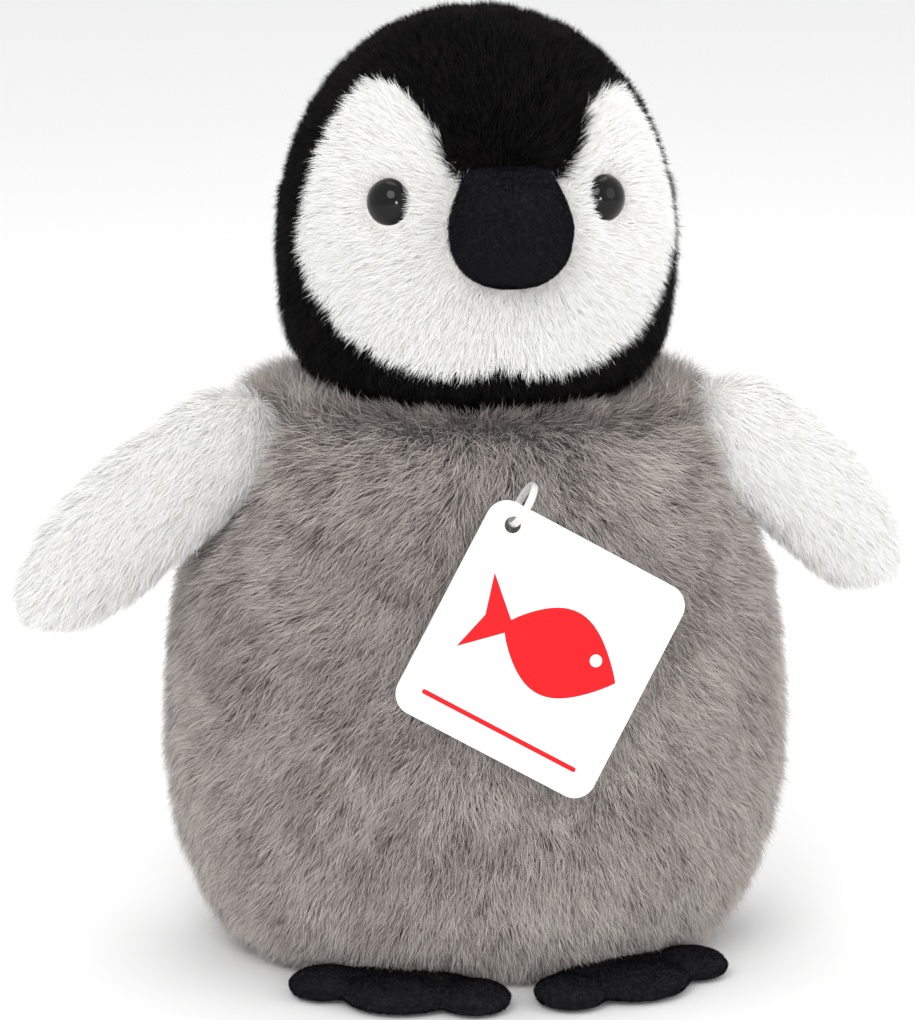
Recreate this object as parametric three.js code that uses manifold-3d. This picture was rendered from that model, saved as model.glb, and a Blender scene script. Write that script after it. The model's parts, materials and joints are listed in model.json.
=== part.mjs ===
// Sitting baby penguin, a stuffed plush toy, 200 mm tall. Millimetres, +Z up, the toy faces -Y.
// Every sewn panel is its own solid: a pile fabric shell around its filling, cut along the seams.
import * as THREE from "three";
import { mergeVertices } from "three/addons/utils/BufferGeometryUtils.js";
import Module from "manifold-3d";

const wasm = await Module();
wasm.setup();

// ---- driving dimensions ----
const GAP = 0.3; // seam gap between neighbouring pieces
const PILE_WALL = 4; // backing cloth plus the pressed pile
const FAR = 200; // reach of a cutting block beyond the toy

// Body rings: height, half width, half depth. The last rings turn in to the dish that holds the head.
const BODY_SIDE = [
  [0, 42, 34], [4, 48.5, 39], [10, 54.5, 43.5], [18, 58.5, 48.5], [28, 61.3, 52.5], [40, 62.9, 54.8],
  [52, 63.1, 55.3], [64, 62.4, 54.6], [76, 60.8, 52.8], [88, 58.2, 50.4], [98, 55.4, 48.2],
  [106, 52.6, 46], [112, 49.8, 43.8], [116, 46.5, 41.2], [118.5, 42, 38], [118.8, 38, 35.5],
  [118, 33, 31.5], [117, 26, 25], [116.5, 17, 17],
];
const BODY_TOP = 112.5; // height of the filled space inside the body
const SIDE_SEAM_DEG = 65; // side seams, measured from the front
const BASE_SEAM_Z = 3;
const PELLET_TOP_Z = 22;

// Head rings, in the same form.
const HEAD_SIDE = [
  [121.5, 14, 14], [122.5, 24, 23.2], [124.2, 31, 30], [127.5, 35.8, 34.6], [133, 38.2, 36.8],
  [140, 39.3, 37.9], [150, 40, 38.5], [160, 39.6, 38.1], [170, 37, 35.6], [178, 33.6, 32.4],
  [184.5, 29.4, 28.4], [190, 24.4, 23.6], [194.5, 18.4, 17.8], [197.6, 11, 10.7], [199, 4, 3.9],
];
const HEAD_TOP_Z = 199.2;
const HEAD_FORWARD = -1;
const GUSSET_HALF = 16; // half width of the panel that runs over the crown to the nape
const COLLAR_SEAM_Z = 134.5;
const FACE_BACK_Y = -10.5; // the white face ends on this plane at the sides of the head

// Neck: a stuffed stem with a round head, which the head turns and nods on.
const NECK_PIVOT_Z = 119.3;
const NECK_BALL_R = 14;
const NECK_STEM_R = 11;
const NECK_FOOT_Z = 98;

// Beak
const BEAK_CENTRE = new THREE.Vector3(0, -39, 160.5);
const BEAK_SIZE = new THREE.Vector3(11.8, 12.5, 12.4);
const BEAK_BACK_Y = -35.2;
const BEAK_WALL = 2;

// Eyes: glossy domes with a shank through the face, held by a washer inside.
const EYE_DEG = 37;
const EYE_Z = 164.5;
const EYE_REACH = 37.3; // distance of the fabric from the head's axis at the eye
const EYE_R = 5;
const EYE_SEAT = -1.2;
const SHANK_R = 1.25;
const SHANK_END = -11;
const WASHER_R = 6;
const WASHER_Z = [-6.2, -5.2];

// Wings: flat stuffed pads that hang down and outward from a gathered root.
const WING_ROOT = new THREE.Vector3(49.5, -15, 114.5); // on the side seam
const WING_DROOP_DEG = 128.7; // from straight up to the wing's length
const WING_SWEEP_DEG = { left: 26, right: 2 }; // how far each wing points backward at rest
const ROOT_TUCK = [6.4, 4.4, 6.4]; // half sizes of the gathered root
const WING_WALL = 3;
// Wing rings: distance from the root, offset upward, half width, half thickness.
const WING_SIDE = [
  [3.5, 5.8, 6.8, 3.2], [8, 5, 8.8, 4.6], [15, 3.2, 10.7, 6], [24, 1.4, 12.1, 7], [34, 0.6, 12.5, 7],
  [44, 0.1, 12.2, 6.4], [52.5, -0.5, 10.4, 5.4], [57.8, -1.1, 7.2, 4], [60.2, -1.5, 3.8, 2.2],
];

// Feet: thin pads with a broad middle toe and two smaller ones, fanned out from under the body.
const FOOT_DEG = { left: 29.5, right: 25.3 }; // turned out from straight ahead
const FOOT_HINGE_R = 40;
// Each lobe: angle from the foot's middle, distance of its centre from the body's axis, height, half sizes.
const FOOT_LOBES = [
  { fan: 0, reach: 50, z: 2.3, size: [19.5, 9.6, 3] },
  { fan: 0, reach: 56, z: 2.7, size: [11, 9.6, 3.7] },
  { fan: -18, reach: 55.5, z: 2.6, size: [7.8, 8, 3.5] },
  { fan: 18, reach: 55.5, z: 2.6, size: [7.8, 8, 3.5] },
];
const SOLE_THICK = 1.2;
const FOOT_WALL = 1.5;

// Hang tag: a square card on a flat plastic ring, whose stem ends in a bar behind the belly cloth.
const CARD = { width: 46, height: 48, thick: 0.7, corner: 4.5 };
const CARD_CENTRE = new THREE.Vector3(5.1, -57.4, 76.5);
const CARD_YAW_DEG = 4;
const CARD_LEAN_DEG = 8.5;
const CARD_ROLL_DEG = -30;
const HOLE = { x: -17.2, y: 19.6, r: 1.7 };
const RING = { r: 4.6, thick: 0.8, width: 1.6 };
const STEM_R = 0.6;
const STEM_DEPTH = 11.6;
const BAR = { r: 0.8, length: 8 };

// ---- materials ----
const cloth = (color, roughness = 0.95) => new THREE.MeshStandardMaterial({ color, roughness, metalness: 0 });
const GREY_PILE = () => cloth(0x8d827d);
const BLACK_PILE = () => cloth(0x131315);
const WHITE_PILE = () => cloth(0xf0eee9);
const BLACK_VELOUR = () => cloth(0x15161c);
const WADDING = () => cloth(0xe8e6e0);
const GREY_CLOTH = () => cloth(0x5f5a58);
const EYE_GLOSS = () => cloth(0x050505, 0.08);
const CLEAR_NYLON = () => cloth(0xdedede, 0.3);
const TAG_BOARD = () => cloth(0xf7f6f2, 0.5);

// ---- solids ----
function toSolid(geometry) {
  const bare = geometry.clone();
  bare.deleteAttribute("normal");
  bare.deleteAttribute("uv");
  const merged = mergeVertices(bare, 1e-4);
  const corners = merged.index.array;
  const kept = [];
  for (let i = 0; i < corners.length; i += 3) {
    const [a, b, c] = [corners[i], corners[i + 1], corners[i + 2]];
    if (a !== b && b !== c && c !== a) kept.push(a, b, c);
  }
  return new wasm.Manifold(new wasm.Mesh({
    numProp: 3,
    vertProperties: new Float32Array(merged.attributes.position.array),
    triVerts: new Uint32Array(kept),
  }));
}

function toMesh(name, solid, material) {
  const { vertProperties, triVerts } = solid.getMesh();
  const geometry = new THREE.BufferGeometry();
  geometry.setAttribute("position", new THREE.BufferAttribute(vertProperties, 3));
  geometry.setIndex(new THREE.BufferAttribute(triVerts, 1));
  geometry.computeVertexNormals();
  const mesh = new THREE.Mesh(geometry, material);
  mesh.name = name;
  return mesh;
}

// Closed form from elliptical rings [height, half width, half depth, offset in x], closed flat at both ends.
function form(rings, segments, topZ = rings.at(-1)[0]) {
  const ends = [[rings[0][0], 0, 0, rings[0][3]], ...rings, [topZ, 0, 0, rings.at(-1)[3]]];
  const geometry = new THREE.LatheGeometry(ends.map(([z, a]) => new THREE.Vector2(a, z)), segments);
  const position = geometry.attributes.position;
  for (let i = 0; i < position.count; i += 1) {
    const turn = (2 * Math.PI * Math.floor(i / ends.length)) / segments;
    const [z, a, b, shift = 0] = ends[i % ends.length];
    // The first and last columns of a lathe share their place, so both use the angle zero.
    const angle = turn > 2 * Math.PI - 1e-6 ? 0 : turn;
    position.setXYZ(i, shift + a * Math.sin(angle), -b * Math.cos(angle), z);
  }
  return geometry;
}

// Every second ring moved in by a wall, and pressed between two heights: the filled space needs less detail.
function inset(rings, wall, low, high) {
  const first = rings[0][0];
  const last = Math.max(...rings.map(([z]) => z));
  return rings.filter((_, i) => i % 2 === 0).map(([z, a, b, shift]) => [
    low + ((z - first) / (last - first)) * (high - low),
    Math.max(a - wall, 0.5),
    Math.max(b - wall, 0.5),
    shift,
  ]);
}

const block = (low, high) => {
  const size = new THREE.Vector3().subVectors(high, low);
  const centre = new THREE.Vector3().addVectors(low, high).multiplyScalar(0.5);
  return toSolid(new THREE.BoxGeometry(size.x, size.y, size.z).translate(centre.x, centre.y, centre.z));
};
const above = (z) => block(new THREE.Vector3(-FAR, -FAR, z), new THREE.Vector3(FAR, FAR, z + 2 * FAR));
const below = (z) => block(new THREE.Vector3(-FAR, -FAR, z - 2 * FAR), new THREE.Vector3(FAR, FAR, z));
const inFront = (y) => block(new THREE.Vector3(-FAR, y - 2 * FAR, -FAR), new THREE.Vector3(FAR, y, 2 * FAR));

// Upright sector around the body's axis, drawn back by half a seam gap on both faces.
function sector(fromDeg, toDeg) {
  const [from, to] = [THREE.MathUtils.degToRad(fromDeg), THREE.MathUtils.degToRad(toDeg)];
  const middle = (from + to) / 2;
  const back = GAP / 2 / Math.sin((to - from) / 2);
  const outline = new THREE.Shape();
  outline.moveTo(0, 0);
  for (const angle of [from, (from + middle) / 2, middle, (middle + to) / 2, to]) {
    outline.lineTo(FAR * Math.sin(angle), -FAR * Math.cos(angle));
  }
  const prism = new THREE.ExtrudeGeometry(outline, { depth: 2 * FAR, bevelEnabled: false });
  prism.translate(back * Math.sin(middle), -back * Math.cos(middle), -FAR / 2);
  return toSolid(prism);
}

const ball = (radius, x, y, z, across, up) =>
  toSolid(new THREE.SphereGeometry(radius, across, up).rotateX(Math.PI / 2).translate(x, y, z));
const pin = (radius, length, segments = 12) =>
  new THREE.CylinderGeometry(radius, radius, length, segments).rotateX(Math.PI / 2);
const ellipsoid = (size, across, up) =>
  new THREE.SphereGeometry(1, across, up).rotateX(Math.PI / 2).scale(...size);

const group = new THREE.Group();

// A sub-assembly's own frame. cutter() gives a piece of it as a solid in the toy's frame.
function frame(position, yawDeg = 0, pitchDeg = 0, rollDeg = 0) {
  const outer = new THREE.Group();
  outer.position.copy(position);
  outer.rotation.order = "ZXY";
  outer.rotation.set(THREE.MathUtils.degToRad(pitchDeg), 0, THREE.MathUtils.degToRad(yawDeg));
  const inner = new THREE.Group();
  inner.rotation.z = THREE.MathUtils.degToRad(rollDeg);
  outer.add(inner);
  group.add(outer);
  outer.updateMatrixWorld(true);
  return inner;
}
const cutter = (geometry, place) => toSolid(geometry.clone().applyMatrix4(place.matrixWorld));

// ---- neck ----
const neckStem = (grow) =>
  toSolid(pin(NECK_STEM_R + grow, NECK_PIVOT_Z - NECK_FOOT_Z + grow, 20)
    .translate(0, 0, (NECK_PIVOT_Z + NECK_FOOT_Z - grow) / 2));
const neckForm = (grow) => ball(NECK_BALL_R + grow, 0, 0, NECK_PIVOT_Z, 20, 12).add(neckStem(grow));
group.add(toMesh("neck_filling", neckForm(0), WADDING()));
const neckRoom = neckForm(GAP);

// ---- hang tag ----
const tagPlace = frame(CARD_CENTRE, CARD_YAW_DEG, 90 - CARD_LEAN_DEG, CARD_ROLL_DEG);
const ringCentre = { x: HOLE.x, y: HOLE.y + RING.r };

function cardGeometry() {
  const { width, height, thick, corner } = CARD;
  const [x, y] = [width / 2, height / 2];
  const outline = new THREE.Shape();
  outline.absarc(x - corner, y - corner, corner, 0, Math.PI / 2);
  outline.absarc(-x + corner, y - corner, corner, Math.PI / 2, Math.PI);
  outline.absarc(-x + corner, -y + corner, corner, Math.PI, 1.5 * Math.PI);
  outline.absarc(x - corner, -y + corner, corner, 1.5 * Math.PI, 2 * Math.PI);
  const punched = new THREE.Path();
  punched.absarc(HOLE.x, HOLE.y, HOLE.r, 0, 2 * Math.PI, true);
  outline.holes.push(punched);
  return new THREE.ExtrudeGeometry(outline, { depth: thick, bevelEnabled: false, curveSegments: 6 })
    .translate(0, 0, -thick / 2);
}

function loopSolid() {
  const [inner, outer, half] = [RING.r - RING.thick / 2, RING.r + RING.thick / 2, RING.width / 2];
  const section = [[inner, -half], [outer, -half], [outer, half], [inner, half], [inner, -half]];
  const ring = new THREE.LatheGeometry(section.map(([r, z]) => new THREE.Vector2(r, z)), 24)
    .rotateZ(Math.PI / 2);
  const stem = pin(STEM_R, STEM_DEPTH - RING.r).translate(0, 0, -(STEM_DEPTH + RING.r) / 2);
  const bar = pin(BAR.r, BAR.length).rotateY(Math.PI / 2).translate(0, 0, -STEM_DEPTH);
  return toSolid(ring).add(toSolid(stem)).add(toSolid(bar)).translate(ringCentre.x, ringCentre.y, 0);
}

tagPlace.add(toMesh("tag_card", toSolid(cardGeometry()), TAG_BOARD()));
tagPlace.add(toMesh("tag_loop", loopSolid(), CLEAR_NYLON()));
const stemHole = cutter(pin(STEM_R + 0.5, 30).translate(ringCentre.x, ringCentre.y, -15), tagPlace);
const barRoom = cutter(
  pin(BAR.length / 2 + 1, 2 * BAR.r + 3, 16).translate(ringCentre.x, ringCentre.y, -STEM_DEPTH),
  tagPlace,
);

// ---- body ----
const tuckRoom = (x, y, z) => ball(ROOT_TUCK[0] + GAP, x, y, z, 16, 8);
const bodyOuter = toSolid(form(BODY_SIDE, 36));
const bodyRoom = toSolid(form(inset(BODY_SIDE, PILE_WALL, PILE_WALL, BODY_TOP), 24));
const bodyStuffing = toSolid(form(
  inset(BODY_SIDE, PILE_WALL + GAP, PILE_WALL + GAP, BODY_TOP - GAP), 24));
const bodyShell = bodyOuter.subtract(bodyRoom).subtract(neckRoom)
  .subtract(tuckRoom(WING_ROOT.x, WING_ROOT.y, WING_ROOT.z))
  .subtract(tuckRoom(-WING_ROOT.x, WING_ROOT.y, WING_ROOT.z));
const bodySides = bodyShell.intersect(above(BASE_SEAM_Z + GAP / 2)).subtract(barRoom);

group.add(toMesh("base_panel", bodyShell.intersect(below(BASE_SEAM_Z - GAP / 2)), GREY_CLOTH()));
group.add(toMesh(
  "belly_panel",
  bodySides.intersect(sector(-SIDE_SEAM_DEG, SIDE_SEAM_DEG)).subtract(stemHole),
  GREY_PILE(),
));
group.add(toMesh("back_panel_left", bodySides.intersect(sector(SIDE_SEAM_DEG, 180)), GREY_PILE()));
group.add(toMesh("back_panel_right", bodySides.intersect(sector(180, 360 - SIDE_SEAM_DEG)), GREY_PILE()));
group.add(toMesh("pellet_bag", bodyStuffing.intersect(below(PELLET_TOP_Z - GAP / 2)), WADDING()));
group.add(toMesh(
  "body_filling",
  bodyStuffing.intersect(above(PELLET_TOP_Z + GAP / 2)).subtract(neckRoom).subtract(barRoom),
  WADDING(),
));

// ---- head ----
const beakForm = (shrink) =>
  toSolid(ellipsoid([BEAK_SIZE.x - shrink, BEAK_SIZE.y - shrink, BEAK_SIZE.z - shrink], 18, 10)
    .translate(BEAK_CENTRE.x, BEAK_CENTRE.y, BEAK_CENTRE.z));

// Outline of one side of the white face, seen from the front, with its edge moved out by grow.
function faceBlock(side, grow) {
  const seam = GAP / 2 - (grow > 0 ? 2 * GAP : 0);
  const outline = new THREE.Shape();
  outline.moveTo(seam, 133 - grow);
  outline.splineThru([[7, 130.6], [14, 130.8], [21, 132.6], [30, 138], [35, 145.5], [37.6, 152]]
    .map(([x, z]) => new THREE.Vector2(x + 0.5 * grow, z - grow)));
  outline.lineTo(70, 155 - grow);
  outline.lineTo(70, 180 + grow);
  outline.lineTo(33, 182.6 + grow);
  outline.splineThru([[28.5, 185.6], [23.5, 187], [18.6, 186], [15, 182.6], [11.6, 177], [9.5, 171.5]]
    .map(([x, z]) => new THREE.Vector2(x - grow, z + 0.7 * grow)));
  outline.lineTo(seam, 162);
  const prism = new THREE.ExtrudeGeometry(outline, { depth: FAR, bevelEnabled: false, curveSegments: 3 })
    .rotateX(Math.PI / 2)
    .translate(0, FACE_BACK_Y + grow, 0);
  const solid = toSolid(prism);
  return side > 0 ? solid : solid.mirror([1, 0, 0]);
}

const headForm = (rings, segments, topZ) => toSolid(form(rings, segments, topZ).translate(0, HEAD_FORWARD, 0));
const headOuter = headForm(HEAD_SIDE, 32, HEAD_TOP_Z);
const headRoomTop = HEAD_TOP_Z - PILE_WALL;
const headRoom = headForm(inset(HEAD_SIDE, PILE_WALL, 126, headRoomTop), 20);
const headStuffing = headForm(inset(HEAD_SIDE, PILE_WALL + GAP, 126 + GAP, headRoomTop - GAP), 20);

// Eye profile, radius against height along the eye's axis. The dome stands on the fabric.
function eyeGeometry(grow) {
  const dome = [];
  const domeSteps = 5;
  for (let i = 0; i <= domeSteps; i += 1) {
    const angle = (i / domeSteps) * Math.PI * 0.5;
    dome.push([(EYE_R + grow) * Math.cos(angle), EYE_SEAT + 0.5 + (4 + grow) * Math.sin(angle)]);
  }
  dome[domeSteps][0] = 0;
  const foot = EYE_SEAT - grow;
  const profile = [
    [0, SHANK_END], [SHANK_R + grow, SHANK_END], [SHANK_R + grow, foot], [EYE_R + grow, foot], ...dome,
  ];
  return new THREE.LatheGeometry(profile.map(([r, z]) => new THREE.Vector2(r, z)), 16).rotateX(Math.PI / 2);
}

let headShell = headOuter.subtract(headRoom).subtract(beakForm(-GAP)).subtract(neckRoom);
let headFilling = headStuffing.subtract(neckRoom);
const washerMiddle = (WASHER_Z[0] + WASHER_Z[1]) / 2;
const washerThick = WASHER_Z[1] - WASHER_Z[0];
for (const [name, side] of [["left", 1], ["right", -1]]) {
  const angle = THREE.MathUtils.degToRad(EYE_DEG);
  const seat = new THREE.Vector3(
    side * EYE_REACH * Math.sin(angle), HEAD_FORWARD - EYE_REACH * Math.cos(angle), EYE_Z);
  const place = frame(seat, side * EYE_DEG, 90);
  const washer = toSolid(pin(WASHER_R, washerThick, 16)).subtract(toSolid(pin(SHANK_R + GAP, 4)));
  place.add(toMesh(`eye_${name}`, toSolid(eyeGeometry(0)), EYE_GLOSS()));
  place.add(toMesh(`eye_washer_${name}`, washer.translate(0, 0, washerMiddle), CLEAR_NYLON()));
  headShell = headShell
    .subtract(cutter(eyeGeometry(GAP), place))
    .subtract(cutter(pin(WASHER_R + GAP, 3, 16).translate(0, 0, WASHER_Z[1] + GAP - 1.5), place));
  headFilling = headFilling.subtract(
    cutter(pin(WASHER_R + GAP, 9.6, 16).translate(0, 0, SHANK_END - GAP + 4.8), place));
}

const black = headShell.subtract(faceBlock(1, GAP)).subtract(faceBlock(-1, GAP));
const blackUpper = black.intersect(above(COLLAR_SEAM_Z + GAP / 2));
const gusset = block(new THREE.Vector3(-GUSSET_HALF + GAP / 2, -FAR, 0), new THREE.Vector3(GUSSET_HALF - GAP / 2, FAR, FAR + 50));
const beside = (side) => {
  const [low, high] = side > 0 ? [GUSSET_HALF + GAP / 2, FAR] : [-FAR, -GUSSET_HALF - GAP / 2];
  return block(new THREE.Vector3(low, -FAR, 0), new THREE.Vector3(high, FAR, FAR + 50));
};
group.add(toMesh("face_panel_left", headShell.intersect(faceBlock(1, 0)), WHITE_PILE()));
group.add(toMesh("face_panel_right", headShell.intersect(faceBlock(-1, 0)), WHITE_PILE()));
group.add(toMesh("crown_panel", blackUpper.intersect(gusset), BLACK_PILE()));
group.add(toMesh("head_side_left", blackUpper.intersect(beside(1)), BLACK_PILE()));
group.add(toMesh("head_side_right", blackUpper.intersect(beside(-1)), BLACK_PILE()));
group.add(toMesh("collar_band", black.intersect(below(COLLAR_SEAM_Z - GAP / 2)), BLACK_PILE()));
group.add(toMesh("head_filling", headFilling, WADDING()));

const beakStuffing = beakForm(BEAK_WALL + GAP).intersect(inFront(BEAK_BACK_Y - GAP));
group.add(toMesh("beak_cover", beakForm(0).subtract(beakForm(BEAK_WALL)).intersect(inFront(BEAK_BACK_Y)), BLACK_VELOUR()));
group.add(toMesh("beak_filling", beakStuffing, WADDING()));

// ---- wings ----
for (const [name, side] of [["left", 1], ["right", -1]]) {
  const root = new THREE.Vector3(side * WING_ROOT.x, WING_ROOT.y, WING_ROOT.z);
  const place = new THREE.Group();
  place.position.copy(root);
  place.rotation.set(0, side * THREE.MathUtils.degToRad(WING_DROOP_DEG),
    side * THREE.MathUtils.degToRad(WING_SWEEP_DEG[name]), "ZYX");
  group.add(place);
  const rings = WING_SIDE.map(([along, rise, half, thick]) => [along, half, thick, -side * rise]);
  const tip = rings.at(-1)[0];
  const outer = toSolid(form(rings, 20, tip + 0.6)).subtract(tuckRoom(0, 0, 0));
  const room = toSolid(form(inset(rings, WING_WALL, 9, tip - WING_WALL), 14));
  const stuffing = toSolid(form(inset(rings, WING_WALL + GAP, 9 + GAP, tip - WING_WALL - GAP), 14));
  const skin = outer.subtract(room);
  const front = inFront(-GAP / 2);
  const back = inFront(-GAP / 2).mirror([0, 1, 0]);
  place.add(toMesh(`wing_${name}_front_panel`, skin.intersect(front), WHITE_PILE()));
  place.add(toMesh(`wing_${name}_back_panel`, skin.intersect(back), WHITE_PILE()));
  place.add(toMesh(`wing_${name}_filling`, stuffing, WADDING()));
  place.add(toMesh(`wing_${name}_seam`, toSolid(ellipsoid(ROOT_TUCK, 16, 8)), WHITE_PILE()));
}

// ---- feet ----
// Toes and instep as one pad, shrunk by a wall.
function footForm(shrink, across, up) {
  let pad;
  for (const { fan, reach, z, size } of FOOT_LOBES) {
    const turn = THREE.MathUtils.degToRad(fan);
    const lobe = toSolid(ellipsoid(size.map((half) => half - shrink), across, up)
      .rotateZ(turn)
      .translate(reach * Math.sin(turn), FOOT_HINGE_R - reach * Math.cos(turn), z));
    pad = pad ? pad.add(lobe) : lobe;
  }
  return pad;
}

for (const [name, side] of [["left", 1], ["right", -1]]) {
  const angle = THREE.MathUtils.degToRad(side * FOOT_DEG[name]);
  const place = new THREE.Group();
  place.position.set(FOOT_HINGE_R * Math.sin(angle), -FOOT_HINGE_R * Math.cos(angle), 0);
  place.rotation.z = angle;
  group.add(place);
  const outer = footForm(0, 12, 6).intersect(above(0));
  const upper = outer.intersect(above(SOLE_THICK + GAP)).subtract(footForm(FOOT_WALL, 8, 5));
  const filling = footForm(FOOT_WALL + GAP, 8, 5).intersect(above(SOLE_THICK + GAP));
  place.add(toMesh(`foot_${name}_upper`, upper, BLACK_VELOUR()));
  place.add(toMesh(`foot_${name}_sole`, outer.intersect(below(SOLE_THICK)), BLACK_VELOUR()));
  place.add(toMesh(`foot_${name}_filling`, filling, WADDING()));
}

// ---- centre the footprint on the origin ----
const bounds = new THREE.Box3().setFromObject(group, true);
const middle = bounds.getCenter(new THREE.Vector3());
group.position.set(-middle.x, -middle.y, -bounds.min.z);

export default group;
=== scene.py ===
"""Plush penguin on its CAD frame: stuffed skins, pile of modelled strands, glossy eyes and a card hang tag."""

import json
import math

import bmesh
import bpy
import numpy as np
from mathutils import Matrix, Vector, kdtree, noise


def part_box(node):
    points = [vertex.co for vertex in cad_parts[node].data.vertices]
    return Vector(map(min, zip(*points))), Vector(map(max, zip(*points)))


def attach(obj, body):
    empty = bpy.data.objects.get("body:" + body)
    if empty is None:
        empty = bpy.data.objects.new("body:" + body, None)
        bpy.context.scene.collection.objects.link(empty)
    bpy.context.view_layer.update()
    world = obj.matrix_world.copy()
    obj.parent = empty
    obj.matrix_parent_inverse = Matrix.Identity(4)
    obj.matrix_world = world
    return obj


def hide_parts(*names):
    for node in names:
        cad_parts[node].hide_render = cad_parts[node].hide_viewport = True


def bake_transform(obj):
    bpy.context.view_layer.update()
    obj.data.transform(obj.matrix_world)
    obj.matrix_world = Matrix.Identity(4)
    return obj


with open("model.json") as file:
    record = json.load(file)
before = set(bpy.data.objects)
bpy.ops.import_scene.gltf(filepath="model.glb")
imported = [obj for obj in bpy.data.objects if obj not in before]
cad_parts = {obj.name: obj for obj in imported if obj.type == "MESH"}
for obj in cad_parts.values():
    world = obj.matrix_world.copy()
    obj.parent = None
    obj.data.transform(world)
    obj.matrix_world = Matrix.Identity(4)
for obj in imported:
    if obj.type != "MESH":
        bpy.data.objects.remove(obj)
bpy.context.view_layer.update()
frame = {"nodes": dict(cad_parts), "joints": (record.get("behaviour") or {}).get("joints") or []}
MM = 0.001
JOINTS = {joint["name"]: joint for joint in frame["joints"]}


def middle(node):
    low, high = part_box(node)
    return (np.array(low) + np.array(high)) / 2


AXIS = middle("base_panel") * (1, 1, 0)  # the toy's upright middle line
HEAD_FORWARD = -1 * MM

# Rings of the stuffed forms, as in the solid model: height, half width, half depth, in millimetres.
BODY_SIDE = [
    (0.6, 41, 33.5), (4, 47.5, 38.5), (10, 54, 43.5), (18, 58.3, 48.3), (28, 61.2, 52.4), (40, 62.8, 54.7),
    (52, 63, 55.2), (64, 62.3, 54.5), (76, 60.7, 52.7), (88, 58.1, 50.3), (98, 55.4, 48.2), (106, 52.6, 46),
    (112, 49.8, 43.8), (116, 46.4, 41.1), (118.4, 42, 38), (118.7, 38, 35.4), (118, 33, 31.5), (117, 26, 25),
    (116.5, 15, 15),
]
HEAD_SIDE = [
    (121.7, 14, 14), (122.5, 24, 23.2), (124.2, 31, 30), (127.5, 35.8, 34.6), (133, 38.2, 36.8),
    (140, 39.3, 37.9), (150, 40, 38.5), (160, 39.6, 38.1), (170, 37, 35.6), (178, 33.6, 32.4),
    (184.5, 29.4, 28.4), (190, 24.4, 23.6), (194.5, 18.4, 17.8), (197.6, 11, 10.7), (198.9, 5, 4.9),
]
SIDE_SEAM_DEG = 65  # each side seam of the body, turned from the front
BASE_SEAM_Z = 3
NECK_SEAM_Z = 114
GUSSET_HALF = 16  # the crown panel's half width, above GUSSET_LOW_Z
GUSSET_LOW_Z = 150
FACE_SEAM_Y = -10.5
COLLAR_SEAM_Z = 134.5

# ---------------------------------------------------------------- camera, light, floor
CAMERA_TURN = math.radians(-8)
CAMERA_LIFT = math.radians(12)
CAMERA_REACH = 1.0
CAMERA_LENS = 165.3
SENSOR_WIDTH = 36
LIGHTS_AIM = Vector((0, 0, 0.1))
FLOOR_SIZE = 8
AIM = Vector(AXIS) + Vector((-3.9, 0, 93.6)) * MM


def set_stage():
    away = Vector((
        math.sin(CAMERA_TURN) * math.cos(CAMERA_LIFT),
        -math.cos(CAMERA_TURN) * math.cos(CAMERA_LIFT),
        math.sin(CAMERA_LIFT),
    ))
    camera = bpy.data.objects.new("camera", bpy.data.cameras.new("camera"))
    camera.data.lens = CAMERA_LENS
    camera.data.sensor_width = SENSOR_WIDTH
    camera.data.clip_start = 0.01
    camera.location = AIM + away * CAMERA_REACH
    camera.rotation_euler = (-away).to_track_quat("-Z", "Y").to_euler()
    bpy.context.collection.objects.link(camera)
    bpy.context.scene.camera = camera

    for name, place, size, power in (
        ("key", (-0.45, -1.0, 0.95), 0.8, 7),
        ("fill", (0.95, -0.75, 0.55), 0.9, 2.5),
        ("top", (0.1, 0.35, 1.3), 0.9, 3.5),
        ("front", (0.05, -1.5, 0.25), 0.3, 5),
    ):
        light = bpy.data.objects.new(name, bpy.data.lights.new(name, "AREA"))
        light.data.shape = "DISK"
        light.data.size = size
        light.data.energy = power
        light.location = place
        light.rotation_euler = (LIGHTS_AIM - light.location).to_track_quat("-Z", "Y").to_euler()
        bpy.context.collection.objects.link(light)

    bpy.context.scene.view_settings.view_transform = "Standard"
    world = bpy.data.worlds.new("studio")
    world.use_nodes = True
    world.node_tree.nodes["Background"].inputs["Color"].default_value = (1, 1, 1, 1)
    world.node_tree.nodes["Background"].inputs["Strength"].default_value = 0.95
    bpy.context.scene.world = world

    bpy.ops.mesh.primitive_plane_add(size=FLOOR_SIZE)
    floor = bpy.context.object
    floor.name = "floor"
    floor.data.materials.append(plain("floor_white", (0.88, 0.88, 0.88), 0.9))


# ---------------------------------------------------------------- materials
def plain(name, color, roughness, **sockets):
    """A material whose values are all constants, which the exported model keeps exactly."""
    made = bpy.data.materials.new(name)
    made.use_nodes = True
    shader = made.node_tree.nodes["Principled BSDF"]
    shader.inputs["Base Color"].default_value = (*color, 1)
    shader.inputs["Roughness"].default_value = roughness
    for socket, value in sockets.items():
        shader.inputs[socket.replace("_", " ")].default_value = value
    return made


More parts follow.
